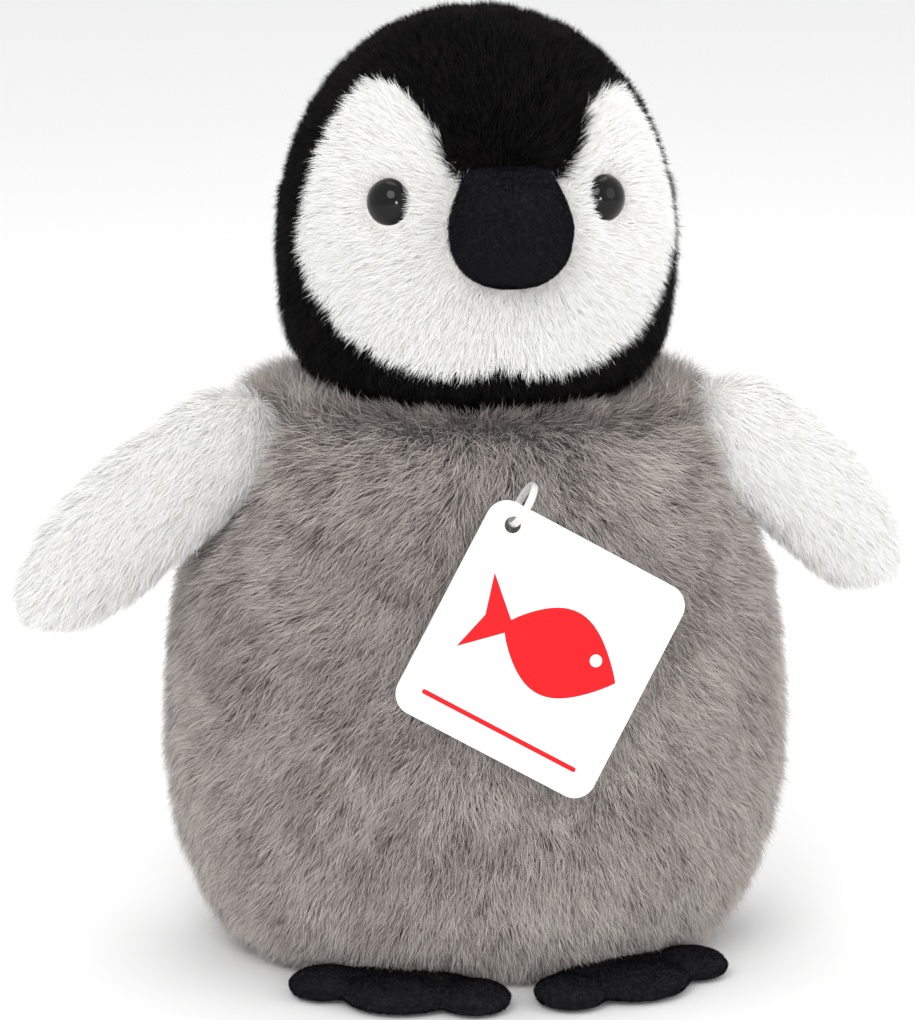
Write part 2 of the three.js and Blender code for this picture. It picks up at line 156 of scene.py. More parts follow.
def textile(name, dark, light, scale, roughness=0.95, bump=0.25, sheen=0.3):
    """Cloth whose tone and height vary with a fine noise in the object's own coordinates."""
    made = plain(name, light, roughness, Sheen_Weight=sheen, Sheen_Roughness=0.5)
    tree = made.node_tree
    shader = tree.nodes["Principled BSDF"]
    place = tree.nodes.new("ShaderNodeTexCoord")
    grain = tree.nodes.new("ShaderNodeTexNoise")
    grain.inputs["Scale"].default_value = scale
    grain.inputs["Detail"].default_value = 6
    tone = tree.nodes.new("ShaderNodeValToRGB")
    tone.color_ramp.elements[0].position = 0.3
    tone.color_ramp.elements[0].color = (*dark, 1)
    tone.color_ramp.elements[1].position = 0.7
    tone.color_ramp.elements[1].color = (*light, 1)
    height = tree.nodes.new("ShaderNodeBump")
    height.inputs["Strength"].default_value = bump
    height.inputs["Distance"].default_value = 0.0004
    tree.links.new(place.outputs["Object"], grain.inputs["Vector"])
    tree.links.new(grain.outputs["Fac"], tone.inputs["Fac"])
    tree.links.new(tone.outputs["Color"], shader.inputs["Base Color"])
    tree.links.new(grain.outputs["Fac"], height.inputs["Height"])
    tree.links.new(height.outputs["Normal"], shader.inputs["Normal"])
    return made


def shades(name, colors, roughness, **sockets):
    """The strand materials of one pile, from the darkest to the lightest."""
    return [plain(f"{name}_{i}", color, roughness, **sockets) for i, color in enumerate(colors)]


# ---------------------------------------------------------------- skins
def smooth_rings(rings, steps):
    """Rows of a smooth curve through the coarse rings."""
    rows = np.array(rings, float)
    ends = np.vstack([2 * rows[0] - rows[1], rows, 2 * rows[-1] - rows[-2]])
    smooth = []
    for i in range(len(rows) - 1):
        before, start, end, after = ends[i:i + 4]
        for k in range(steps):
            t = k / steps
            smooth.append(0.5 * (
                2 * start + (end - before) * t
                + (2 * before - 5 * start + 4 * end - after) * t ** 2
                + (3 * start - before - 3 * end + after) * t ** 3
            ))
    smooth.append(rows[-1])
    return np.array(smooth)


def add_object(name, vertices, faces):
    mesh = bpy.data.meshes.new(name)
    mesh.from_pydata([tuple(v) for v in vertices], [], faces)
    mesh.polygons.foreach_set("use_smooth", np.ones(len(mesh.polygons), bool))
    mesh.update()
    made = bpy.data.objects.new(name, mesh)
    bpy.context.collection.objects.link(made)
    return made


def ring_skin(name, rings, segments, place, squareness=2):
    """Closed skin through oval rings [height, half width, half depth, sideways offset], closed at both ends.

    squareness 2 gives ellipses, and more gives a flatter front and sides.
    """
    rows = smooth_rings(rings, 4)
    if rows.shape[1] == 3:
        rows = np.column_stack([rows, np.zeros(len(rows))])
    turns = np.arange(segments) / segments * 2 * math.pi
    power = 2 / squareness
    across = np.sign(np.sin(turns)) * np.abs(np.sin(turns)) ** power
    ahead = -np.sign(np.cos(turns)) * np.abs(np.cos(turns)) ** power
    vertices = [(rows[0][3], 0, rows[0][0])]
    for height, half, deep, offset in rows:
        vertices += list(zip(offset + half * across, deep * ahead, np.full(segments, height)))
    vertices.append((rows[-1][3], 0, rows[-1][0]))
    last = len(vertices) - 1
    top = 1 + (len(rows) - 1) * segments
    faces = []
    for j in range(segments):
        after = (j + 1) % segments
        faces.append((0, 1 + after, 1 + j))
        for low in range(1, top, segments):
            faces.append((low + j, low + after, low + segments + after, low + segments + j))
        faces.append((last, top + j, top + after))
    return add_object(name, place(np.array(vertices, float)), faces)


def applied(made):
    """Puts what the modifiers show into the mesh, and removes the modifiers."""
    shown = made.evaluated_get(bpy.context.evaluated_depsgraph_get())
    mesh = bpy.data.meshes.new_from_object(shown)
    made.modifiers.clear()
    made.data = mesh
    mesh.polygons.foreach_set("use_smooth", np.ones(len(mesh.polygons), bool))


def places(made):
    spots = np.empty(len(made.data.vertices) * 3)
    made.data.vertices.foreach_get("co", spots)
    return spots.reshape(-1, 3)


CLOTH_GRID = 4.5 * MM
CLOTH_FRAMES = 20
CLOTH_PRESSURE = 4
PUFF_LIMIT = 1.4 * MM


def stuff(skin, off_seam):
    """Blows the skin out between its seams in a short cloth run.

    off_seam gives each point's distance to a seam, in metres.
    """
    remesh = skin.modifiers.new("even_grid", "REMESH")
    remesh.mode = "VOXEL"
    remesh.voxel_size = CLOTH_GRID
    remesh.use_smooth_shade = True
    applied(skin)
    before = places(skin)
    sewn = np.clip(1 - off_seam(before) / CLOTH_GRID, 0, 1)
    group = skin.vertex_groups.new(name="sewn")
    for i, weight in enumerate(sewn):
        group.add([i], float(weight), "REPLACE")
    cloth = skin.modifiers.new("stuffing", "CLOTH")
    cloth.settings.quality = 6
    cloth.settings.vertex_group_mass = "sewn"
    cloth.settings.tension_stiffness = 12
    cloth.settings.compression_stiffness = 12
    cloth.settings.bending_stiffness = 0.5
    cloth.settings.use_pressure = True
    cloth.settings.uniform_pressure_force = CLOTH_PRESSURE
    cloth.settings.effector_weights.gravity = 0
    cloth.collision_settings.use_self_collision = False
    cloth.point_cache.frame_start = 1
    cloth.point_cache.frame_end = CLOTH_FRAMES
    for step in range(1, CLOTH_FRAMES + 1):
        bpy.context.scene.frame_set(step)
    applied(skin)
    bpy.context.scene.frame_set(1)
    move = places(skin) - before
    far = np.linalg.norm(move, axis=1, keepdims=True)
    after = before + move * np.minimum(1, PUFF_LIMIT / np.maximum(far, 1e-9))
    skin.data.vertices.foreach_set("co", after.reshape(-1))
    finer = skin.modifiers.new("finer", "SUBSURF")
    finer.levels = 1
    applied(skin)


def lobes_skin(name, lobes, place, grid):
    """One smooth skin around overlapping ellipsoids, each given as centre, half sizes and turn about Z."""
    shape = bmesh.new()
    for centre, size, turn in lobes:
        matrix = Matrix.Translation(centre) @ Matrix.Rotation(turn, 4, "Z") @ Matrix.Diagonal((*size, 1))
        bmesh.ops.create_uvsphere(shape, u_segments=40, v_segments=20, radius=1, matrix=matrix)
    mesh = bpy.data.meshes.new(name)
    shape.to_mesh(mesh)
    shape.free()
    made = bpy.data.objects.new(name, mesh)
    bpy.context.collection.objects.link(made)
    remesh = made.modifiers.new("one_skin", "REMESH")
    remesh.mode = "VOXEL"
    remesh.voxel_size = grid
    soften = made.modifiers.new("soften", "SMOOTH")
    soften.iterations = 12
    applied(made)
    made.data.vertices.foreach_set("co", place(places(made)).reshape(-1))
    made.data.update()
    return made


def flat_shape(name, outlines, thick, bevel, lift, material):
    """A flat plate in the card's plane from closed outlines (a second one inside the first is a hole)."""
    curve = bpy.data.curves.new(name, "CURVE")
    curve.dimensions = "2D"
    curve.fill_mode = "BOTH"
    curve.extrude = thick / 2 - bevel
    curve.bevel_depth = bevel
    curve.bevel_resolution = 1
    curve.offset = -bevel
    for outline in outlines:
        spline = curve.splines.new("POLY")
        spline.points.add(len(outline) - 1)
        for point, (x, y) in zip(spline.points, outline):
            point.co = (x, y, 0, 1)
        spline.use_cyclic_u = True
    drawn = bpy.data.objects.new(name + "_outline", curve)
    bpy.context.collection.objects.link(drawn)
    mesh = bpy.data.meshes.new_from_object(drawn.evaluated_get(bpy.context.evaluated_depsgraph_get()))
    bpy.data.objects.remove(drawn)
    mesh.transform(card_matrix(lift))
    mesh.materials.clear()
    mesh.materials.append(material)
    made = bpy.data.objects.new(name, mesh)
    bpy.context.collection.objects.link(made)
    return made


def sweep(name, path, across, half_width, half_thick, closed, material):
    """A smooth strap along a path: half_width along the across direction, half_thick square to it."""
    count = len(path)
    path = np.array(path)
    ahead = np.roll(path, -1, 0) - np.roll(path, 1, 0)
    if not closed:
        ahead[0], ahead[-1] = path[1] - path[0], path[-1] - path[-2]
    out = unit(np.cross(ahead, across))
    sides = 16
    turns = np.arange(sides) / sides * 2 * math.pi
    broad = half_width * np.array(across)
    rings = [path + math.cos(a) * broad + half_thick * math.sin(a) * out for a in turns]
    vertices = np.stack(rings, 1).reshape(-1, 3)
    faces = []
    for i in range(count if closed else count - 1):
        after = (i + 1) % count
        for j in range(sides):
            k = (j + 1) % sides
            faces.append((sides * i + j, sides * i + k, sides * after + k, sides * after + j))
    if not closed:
        faces.append(tuple(range(sides - 1, -1, -1)))
        faces.append(tuple(sides * (count - 1) + j for j in range(sides)))
    made = add_object(name, vertices, faces)
    made.data.materials.append(material)
    return made


# ---------------------------------------------------------------- pile
FLOOR_GAP = 0.3 * MM
STRAND_FACES = 190000  # triangles in one mesh of strands


def ramp(values, start, end):
    """0 up to start, 1 from end on, and straight between. start may be the larger one."""
    return np.clip((values - start) / (end - start), 0, 1)


def scatter(skin, per_mm2, seed):
    """Random points and smooth normals over a skin, in metres."""
    random = np.random.default_rng(seed)
    mesh = skin.data
    mesh.calc_loop_triangles()
    count = len(mesh.vertices)
    place = np.empty(count * 3)
    mesh.vertices.foreach_get("co", place)
    place = place.reshape(-1, 3)
    normal = np.empty(count * 3)
    mesh.vertices.foreach_get("normal", normal)
    normal = normal.reshape(-1, 3)
    corner = np.empty(len(mesh.loop_triangles) * 3, int)
    mesh.loop_triangles.foreach_get("vertices", corner)
    corner = corner.reshape(-1, 3)
    a, b, c = (place[corner[:, k]] for k in range(3))
    area = np.linalg.norm(np.cross(b - a, c - a), axis=1) / 2
    wanted = int(area.sum() * 1e6 * per_mm2 * (1))
    pick = random.choice(len(area), wanted, p=area / area.sum())
    u, v = random.random((2, wanted))
    flip = u + v > 1
    u[flip], v[flip] = 1 - u[flip], 1 - v[flip]
    weights = np.column_stack([1 - u - v, u, v])
    points = sum(weights[:, [k]] * place[corner[pick, k]] for k in range(3))
    normals = sum(weights[:, [k]] * normal[corner[pick, k]] for k in range(3))
    return points, unit(normals)


def unit(vectors):
    return vectors / np.maximum(np.linalg.norm(vectors, axis=1, keepdims=True), 1e-9)


def tangent(flow, normals):
    return unit(flow - (flow * normals).sum(1, keepdims=True) * normals)


def wave(points, scale, seed):
    """Smooth noise of about -1 to 1 at each point."""
    shift = Vector((seed * 17.3, seed * 5.1, seed * 9.7))
    return np.array([noise.noise(Vector(p) * scale + shift) for p in points])


def clump(points, share, seed):
    """Index of the tuft each point belongs to, and the tufts' centres."""
    random = np.random.default_rng(seed)
    keep = max(1, int(len(points) * share))
    centres = points[random.choice(len(points), keep, replace=False)]
    tree = kdtree.KDTree(keep)
    for i, centre in enumerate(centres):
        tree.insert(centre, i)
    tree.balance()
    return np.array([tree.find(p)[1] for p in points]), centres


def ground(points):
    """Height under each point that the pile lies on: the top of a foot, or the floor."""
    height = np.full(len(points), FLOOR_GAP)
    for centre, size, turn in FOOT_PADS:
        rel = points[:, :2] - centre[:2]
        x = (rel[:, 0] * math.cos(turn) + rel[:, 1] * math.sin(turn)) / (size[0] + FLOOR_GAP)
        y = (-rel[:, 0] * math.sin(turn) + rel[:, 1] * math.cos(turn)) / (size[1] + FLOOR_GAP)
        dome = np.sqrt(np.clip(1 - x ** 2 - y ** 2, 0, 1))
        height = np.maximum(height, np.where(dome > 0, centre[2] + (size[2] + FLOOR_GAP) * dome, 0))
    return height


def pile(name, points, normals, flow, look, materials, tone, guard=None, on_floor=False):
    """Builds pile strands as flat tapered ribbons that curve from the cloth into the lie of the nap.

    flow is the direction in which each strand lies, and tone its shade, 0 to 1. guard changes the strands'
    lengths and leans by place, and on_floor lays them on the floor and the feet. look holds:
    - length and width, in millimetres, and rows, the number of faces along a strand
    - lean, the degrees that a strand stands off the cloth at its root
    - tuft, the share of strands that start a tuft, and pull, how far the tips of a tuft gather
    - messy and stray, how far tufts and single strands turn away from the flow
    - waves and wave_scale, how much and how finely the lean varies over the cloth
    - seed
    """
    random = np.random.default_rng(look["seed"])
    count = len(points)
    flow = tangent(flow, normals)
    side = np.cross(normals, flow)
    tuft, centres = clump(points, look["tuft"], look["seed"])
    tuft_turn = random.normal(0, look["messy"], len(centres))[tuft]
    tuft_rise = random.normal(0, 0.5 * look["messy"], len(centres))[tuft]
    turn = tuft_turn + random.normal(0, 1, count) * look["stray"]
    nap = look["waves"] * wave(points, look["wave_scale"], look["seed"])
    lean = np.radians(look["lean"]) * (1 + nap + tuft_rise + random.normal(0, 0.16, count))
    length = look["length"] * MM * np.clip(1 + random.normal(0, 0.13, count) + 0.3 * tuft_rise, 0.45, 1.4)
    if guard is not None:
        length, lean = guard(points, length, lean)
    width = look["width"] * MM * random.uniform(0.75, 1.3, count)
    heading = np.cos(turn)[:, None] * flow + np.sin(turn)[:, None] * side
    gather = (centres[tuft] - points) * look["pull"]
    roll = random.normal(0, 0.55, count)
    rows = look["rows"]
    lines = []
    for k in range(rows + 1):
        t = k / rows
        along = (length * t * np.cos(lean) * (1 + 0.12 * t))[:, None] * heading
        up = (length * t * (1 - 0.4 * t) * np.sin(lean))[:, None] * normals
        line = points + along + up + gather * t ** 1.5
        if on_floor:
            line[:, 2] = np.maximum(line[:, 2], ground(line))
        lines.append(line)
    vertices = np.empty((count, 2 * rows + 1, 3))
    for k in range(rows):
        step = unit(lines[k + 1] - lines[k])
        across = unit(np.cross(step, normals))
        lift = np.cross(across, step)
        edge = np.cos(roll)[:, None] * across + np.sin(roll)[:, None] * lift
        half = (width * (1 - 0.55 * k / rows) / 2)[:, None]
        vertices[:, 2 * k] = lines[k] - edge * half
        vertices[:, 2 * k + 1] = lines[k] + edge * half
    vertices[:, -1] = lines[-1]
    shade = np.clip((tone * len(materials)).astype(int), 0, len(materials) - 1)
    part_size = STRAND_FACES // (2 * rows - 1)
    order = np.argsort(points[:, 0] + 0.3 * points[:, 1], kind="stable")
    made = []
    for part, start in enumerate(range(0, count, part_size)):
        chosen = order[start:start + part_size]
        made.append(strand_mesh(f"{name}_{part}", vertices[chosen], shade[chosen], rows, materials))
    return made


def ride_all(made, body):
    """Gives every mesh of a pile its body."""
    for piece in made:
        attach(piece, body)


def strand_mesh(name, vertices, shade, rows, materials):
    count, each = vertices.shape[:2]
    mesh = bpy.data.meshes.new(name)
    mesh.vertices.add(count * each)
    mesh.vertices.foreach_set("co", vertices.reshape(-1))
    corners = []
    for k in range(rows - 1):
        corners.append([2 * k, 2 * k + 1, 2 * k + 3, 2 * k + 2])
    corners.append([2 * rows - 2, 2 * rows - 1, 2 * rows])
    pattern = np.array([c for face in corners for c in face])
    totals = np.tile([len(face) for face in corners], count)
    loops = (np.arange(count)[:, None] * each + pattern[None, :]).reshape(-1)
    mesh.loops.add(len(loops))
    mesh.loops.foreach_set("vertex_index", loops)
    mesh.polygons.add(len(totals))
    mesh.polygons.foreach_set("loop_start", np.concatenate([[0], np.cumsum(totals)[:-1]]))
    mesh.polygons.foreach_set("loop_total", totals)
    # Painted shade and painted light along each strand: the root is one shade darker, as where light doesn't
    # reach into the pile, and the tip of a strand of two or more faces is one shade lighter, where light falls
    # on it.
    step = np.array([-1] + [0] * (rows - 2) + [1] if rows > 1 else [0])
    index = np.clip(shade[:, None] + step[None, :], 0, len(materials) - 1).reshape(-1)
    mesh.polygons.foreach_set("material_index", index)
    mesh.polygons.foreach_set("use_smooth", np.ones(len(totals), bool))
    mesh.update(calc_edges=True)
    for material in materials:
        mesh.materials.append(material)
    made = bpy.data.objects.new(name, mesh)
    bpy.context.collection.objects.link(made)
    return made


# ---------------------------------------------------------------- the penguin
GREY_SHADES = [
    (0.058, 0.045, 0.039), (0.115, 0.096, 0.087), (0.215, 0.185, 0.17),
    (0.325, 0.288, 0.269), (0.42, 0.38, 0.357), (0.53, 0.487, 0.458),
]
WHITE_SHADES = [(0.70, 0.69, 0.66), (0.79, 0.785, 0.765), (0.845, 0.84, 0.825), (0.88, 0.88, 0.87)]
BLACK_SHADES = [
    (0.001, 0.0009, 0.0013), (0.0016, 0.0014, 0.002), (0.003, 0.0027, 0.0034), (0.010, 0.0083, 0.0083),
]
VELOUR_SHADES = [(0.0016, 0.0014, 0.0028), (0.003, 0.0026, 0.0048), (0.006, 0.0052, 0.009)]
GREY = shades("grey_pile", GREY_SHADES, 0.6, Sheen_Weight=0.1)
WHITE = shades("white_pile", WHITE_SHADES, 0.7, Specular_IOR_Level=0.3)
BLACK = shades("black_pile", BLACK_SHADES, 0.6, Specular_IOR_Level=0.05)
VELOUR = shades("black_velour", VELOUR_SHADES, 0.85, Specular_IOR_Level=0.2)
GREY_BACKING = textile("grey_backing", (0.05, 0.045, 0.04), (0.12, 0.105, 0.095), 900)
BLACK_BACKING = textile("black_backing", (0.001, 0.001, 0.0015), (0.003, 0.003, 0.0035), 900, sheen=0)
WHITE_BACKING = textile("white_backing", (0.6, 0.58, 0.55), (0.78, 0.76, 0.73), 900)
VELOUR_BACKING = textile("velour_backing", (0.0015, 0.0014, 0.003), (0.004, 0.0035, 0.006), 1600, bump=0.05,
                         sheen=0)
HEAD_AXIS = AXIS + np.array([0, HEAD_FORWARD, 0])


def azimuth(points):
    """Angle around the toy from its front, in degrees, positive to its left side at +X."""
    return np.degrees(np.arctan2(points[:, 0] - AXIS[0], -(points[:, 1] - AXIS[1])))


def inside(outline, x, z):
    """True where the point lies inside the closed outline."""
    found = np.zeros(len(x), bool)
    for (x0, z0), (x1, z1) in zip(outline, np.roll(outline, -1, axis=0)):
        if z0 == z1:
            continue
        found ^= ((z0 > z) != (z1 > z)) & (x < (x1 - x0) * (z - z0) / (z1 - z0) + x0)
    return found


# ---- feet
FOOT_DEG = {1: 29.5, -1: 25.3}
FOOT_HINGE_R = 40
# The pad and the three toes: degrees in the foot's fan, reach from the toy's axis, height, half sizes.
FOOT_LOBES = [
    (0, 50, 2.4, (19, 9.4, 2.8)), (0, 56.3, 2.7, (11.6, 9.2, 3.2)),
    (-17, 55.6, 2.6, (7.6, 8.2, 3.1)), (17, 55.6, 2.6, (7.6, 8.2, 3.1)),
]
FOOT_SKIN_GRID = 0.9 * MM
SOLE_Z = 0.05 * MM
SOLE_EDGE_Z = 0.8 * MM  # there is no pile below it


def foot_pads(side):
    """Centre, half sizes and turn of each rounded lobe of one foot, in the shared frame."""
    pads = []
    angle = math.radians(side * FOOT_DEG[side])
    hinge = Vector((FOOT_HINGE_R * math.sin(angle), -FOOT_HINGE_R * math.cos(angle), 0)) * MM + Vector(AXIS)
    for fan, reach, height, size in FOOT_LOBES:
        turn = math.radians(fan)
        spot = Vector((reach * math.sin(turn), FOOT_HINGE_R - reach * math.cos(turn), height)) * MM
        spot.rotate(Matrix.Rotation(angle, 3, "Z"))
        pads.append((hinge + spot, tuple(half * MM for half in size), turn + angle))
    return pads


FOOT_PADS = foot_pads(-1) + foot_pads(1)


def on_sole(spots):
    spots[:, 2] = np.maximum(spots[:, 2], SOLE_Z)
    return spots


VELOUR_LOOK = {"length": 0.9, "width": 0.12, "lean": 55, "rows": 1, "tuft": 0.02, "pull": 0, "messy": 0.2,
               "stray": 0.4, "waves": 0.2, "wave_scale": 300, "seed": 31}
for name, side in (("left", 1), ("right", -1)):
    skin = lobes_skin(f"foot_{name}_skin", foot_pads(side), on_sole, FOOT_SKIN_GRID)
    skin.data.materials.append(VELOUR_BACKING)
    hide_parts(f"foot_{name}_upper", f"foot_{name}_sole")
    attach(skin, f"foot_{name}")
    points, normals = scatter(skin, 22, 40 + side)
    keep = points[:, 2] > SOLE_EDGE_Z
    points, normals = points[keep], normals[keep]
    away = points - AXIS
    tone = 0.5 + np.random.default_rng(8).normal(0, 0.3, len(points))
    made = pile(f"foot_{name}_pile", points, normals, away, VELOUR_LOOK, VELOUR, tone)
    ride_all(made, f"foot_{name}")

# ---- wings
# Rings along the wing: distance from the root, half width, half thickness, offset upward.
WING_SIDE = [
    (-6.4, 3.4, 1.8, 1.6), (-5.6, 6.4, 3.2, 1.5), (-3, 9.6, 4.6, 1.4), (1, 11.6, 5.4, 1.4),
    (7, 12.6, 5.9, 1.5), (14, 12.8, 6.3, 1.7), (22, 12.7, 6.7, 2), (32, 12.8, 6.8, 1.9),
    (44, 12.2, 6.2, 0.7), (52, 9.8, 5.2, -0.1), (57.6, 6.6, 3.9, -0.5), (60.8, 3.2, 2.2, -0.6),
]
WING_DROOP_DEG = 128.7
WING_SWEEP_DEG = {1: 26, -1: 2}
WING_PILE_START = -6 * MM
WING_ROOTS = {
    1: np.array(JOINTS["wing_left_swing"]["pos_m"]),
    -1: np.array(JOINTS["wing_right_swing"]["pos_m"]),
}
WING_LOOK = {"length": 5.2, "width": 0.12, "lean": 44, "rows": 2, "tuft": 0.02, "pull": 0.12, "messy": 0.12,
             "stray": 0.28, "waves": 0.15, "wave_scale": 120, "seed": 24}


def wing_axes(side):
    """The wing's length, its width upward, and its thickness, as directions."""
    droop, sweep = math.radians(WING_DROOP_DEG), math.radians(WING_SWEEP_DEG[side])
    outward = np.array([side * math.cos(sweep), math.sin(sweep), 0])
    along = outward * math.sin(droop) + np.array([0, 0, math.cos(droop)])
    rise = -outward * math.cos(droop) + np.array([0, 0, math.sin(droop)])
    return along, rise, np.cross(along, rise)


def in_wing(points, side, margin):
    """True inside the wing, grown by margin millimetres. Body pile that starts there would poke through it."""
    along, rise, thick = wing_axes(side)
    rel = (points - WING_ROOTS[side]) / MM
    s, u, v = rel @ along, rel @ rise, rel @ thick
    table = np.array(WING_SIDE)
    half = np.interp(s, table[:, 0], table[:, 1]) + margin
    deep = np.interp(s, table[:, 0], table[:, 2]) + margin
    middle_u = np.interp(s, table[:, 0], table[:, 3])
    return ((u - middle_u) / half) ** 2 + (v / deep) ** 2 < 1


for name, side in (("left", 1), ("right", -1)):
    root = WING_ROOTS[side]
    along, rise, thick = wing_axes(side)
    skin = ring_skin(f"wing_{name}_skin", WING_SIDE, 48,
                     lambda v: (v[:, [0]] * rise + v[:, [1]] * thick + v[:, [2]] * along) * MM + root)
    skin.data.materials.append(WHITE_BACKING)
    stuff(skin, lambda spots: np.abs((spots - root) @ thick))
    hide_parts(f"wing_{name}_front_panel", f"wing_{name}_back_panel", f"wing_{name}_seam")
    points, normals = scatter(skin, 10, 50 + side)
    keep = (points - root) @ along > WING_PILE_START
    points, normals = points[keep], normals[keep]
    flow = along + np.array([0, 0, -0.25]) + 0.35 * wave(points, 60, 9)[:, None] * rise
    tone = 0.72 + 0.12 * wave(points, 90, 4) + np.random.default_rng(9).normal(0, 0.16, len(points))
    made = pile(f"wing_{name}_pile", points, normals, flow, WING_LOOK, WHITE, tone)
    for piece in [skin, *made]:
        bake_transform(piece)

# ---- hang tag
CARD_WIDTH, CARD_HEIGHT, CARD_THICK, CARD_CORNER = 46, 48, 0.7, 4.5
HOLE_X, HOLE_Y, HOLE_R = -17.2, 19.6, 1.7
RING_R, RING_THICK, RING_WIDTH = 4.6, 0.8, 1.6
STEM_R, STEM_DEPTH = 0.6, 11.6
BAR_R, BAR_LENGTH = 0.8, 8
TAG_PIN = np.array(JOINTS["tag_swing"]["pos_m"])
TAG_OUT = np.array(JOINTS["tag_swing"]["axis"])
TAG_RIGHT = -np.array(JOINTS["tag_lift"]["axis"])
TAG_UP = np.cross(TAG_OUT, TAG_RIGHT)
CARD_CENTRE = TAG_PIN - (TAG_RIGHT * HOLE_X + TAG_UP * (HOLE_Y + RING_R)) * MM


def card_matrix(lift):
    """From the card's own millimetres, lift above its middle plane, to the shared frame."""
    matrix = Matrix.Identity(4)
    for k, axis in enumerate((TAG_RIGHT, TAG_UP, TAG_OUT)):
        for row in range(3):
            matrix[row][k] = axis[row] * MM
    matrix.translation = Vector(CARD_CENTRE + TAG_OUT * lift * MM)
    return matrix


def rounded_rectangle(width, height, corner, steps=10):
    outline = []
    for turn, (x, y) in enumerate(((1, 1), (-1, 1), (-1, -1), (1, -1))):
        for k in range(steps + 1):
            angle = math.pi / 2 * (turn + k / steps)
            outline.append((x * (width / 2 - corner) + corner * math.cos(angle),
                            y * (height / 2 - corner) + corner * math.sin(angle)))
    return outline


def circle(x, y, radius, steps=40):
    turns = [2 * math.pi * k / steps for k in range(steps)]
    return [(x + radius * math.cos(a), y + radius * math.sin(a)) for a in turns]


def fish(length, height, x, y):
    """Outline of a plain swimming fish that faces right."""
    upper = []
    for k in range(25):
        t = k / 24
        back = 0.43 * math.sin(math.pi * t) ** 0.9 * (1 - 0.12 * t)
        upper.append((-0.27 + 0.77 * t, 0.07 + back - 0.07 * t))
    tail = [(-0.5, -0.4), (-0.43, 0), (-0.5, 0.4)]
    outline = upper + [(a, -b) for a, b in reversed(upper[:-1])] + tail
    return [(x + length * a, y + height * b) for a, b in outline]


CARD_EDGE_BEVEL = 0.12
PRINT_LIFT = CARD_THICK / 2 + 0.02
PRINT_THICK = 0.03
RULE_LENGTH, RULE_WIDTH, RULE_CORNER, RULE_Y = 36, 1.0, 0.45, -18.5
CARD_BOARD = textile("tag_board", (0.76, 0.76, 0.755), (0.81, 0.81, 0.805), 300, 0.4, bump=0.03, sheen=0)
PRINT_RED = plain("tag_print_red", (0.70, 0.006, 0.01), 0.5, Specular_IOR_Level=0.15)
card_outlines = [rounded_rectangle(CARD_WIDTH, CARD_HEIGHT, CARD_CORNER), circle(HOLE_X, HOLE_Y, HOLE_R)]
card = flat_shape("tag_card_board", card_outlines, CARD_THICK, CARD_EDGE_BEVEL, 0, CARD_BOARD)
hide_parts("tag_card")
fish_outlines = [fish(33, 21, 0.5, 1), circle(11.2, 3.2, 1.3)]  # the body, and the eye as a hole in it
mark = flat_shape("tag_print_fish", fish_outlines, PRINT_THICK, 0, PRINT_LIFT, PRINT_RED)
rule_outline = [rounded_rectangle(RULE_LENGTH, RULE_WIDTH, RULE_CORNER)]
rule = flat_shape("tag_print_rule", rule_outline, PRINT_THICK, 0, PRINT_LIFT, PRINT_RED)
rule.data.transform(Matrix.Translation(Vector(TAG_UP * RULE_Y * MM)))
for piece in (card, mark, rule):
    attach(piece, "tag_card")

NYLON = plain("clear_nylon", (0.86, 0.85, 0.83), 0.28, Transmission_Weight=0.35, IOR=1.53)
ring_turns = np.arange(48) / 48 * 2 * math.pi
ring_path = [TAG_PIN + RING_R * MM * (math.cos(a) * TAG_UP + math.sin(a) * TAG_OUT) for a in ring_turns]
loop = sweep("tag_loop_ring", ring_path, TAG_RIGHT, RING_WIDTH / 2 * MM, RING_THICK / 2 * MM, True, NYLON)
stem_path = [TAG_PIN - TAG_OUT * d * MM for d in np.linspace(RING_R, STEM_DEPTH, 6)]
stem = sweep("tag_loop_stem", stem_path, TAG_RIGHT, STEM_R * MM, STEM_R * MM, False, NYLON)
bar_path = [TAG_PIN - TAG_OUT * STEM_DEPTH * MM + TAG_RIGHT * d * MM
            for d in np.linspace(-BAR_LENGTH / 2, BAR_LENGTH / 2, 6)]
bar = sweep("tag_loop_bar", bar_path, TAG_UP, BAR_R * MM, BAR_R * MM, False, NYLON)
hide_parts("tag_loop")
for piece in (loop, stem, bar):
    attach(piece, "tag_loop")


# ---- body
def off_body_seam(spots):
    """Distance to the side seams, the back seam and the base seam, and 0 above the neck seam."""
    rel = spots - AXIS
    away = []
    for degrees in (SIDE_SEAM_DEG, -SIDE_SEAM_DEG, 180):
        angle = math.radians(degrees)
        seam = np.array([math.sin(angle), -math.cos(angle)])
        beside = np.abs(rel[:, 0] * seam[1] - rel[:, 1] * seam[0])
        away.append(np.where(rel[:, :2] @ seam > 0, beside, np.linalg.norm(rel[:, :2], axis=1)))
    away.append(np.maximum(spots[:, 2] - BASE_SEAM_Z * MM, 0))
    away.append(np.maximum(NECK_SEAM_Z * MM - spots[:, 2], 0))
    return np.min(away, axis=0)


# Where the body's pile changes, as the two ends of a ramp: heights and distances, in metres.
SHOULDER_RISE = (0.105, 0.115)
SHOULDER_OUT = (0.026, 0.038)
BASE_DROP = (0.018, 0.006)
RIM_RISE = (0.110, 0.116)
RIM_OUT = (0, 0.03)
FRONT_DEG = (120, 60)
CARD_REACH = (5, 0)  # millimetres beyond the card's edge
CARD_NEAR = -16 * MM
BY_WING_MARGIN, BY_WING_TOP_Z = 6, 0.116
IN_WING_MARGIN = 2.5
BASE_BARE_Z = 0.002
NECK_BARE_Z, NECK_BARE_R = 0.1155, 0.031


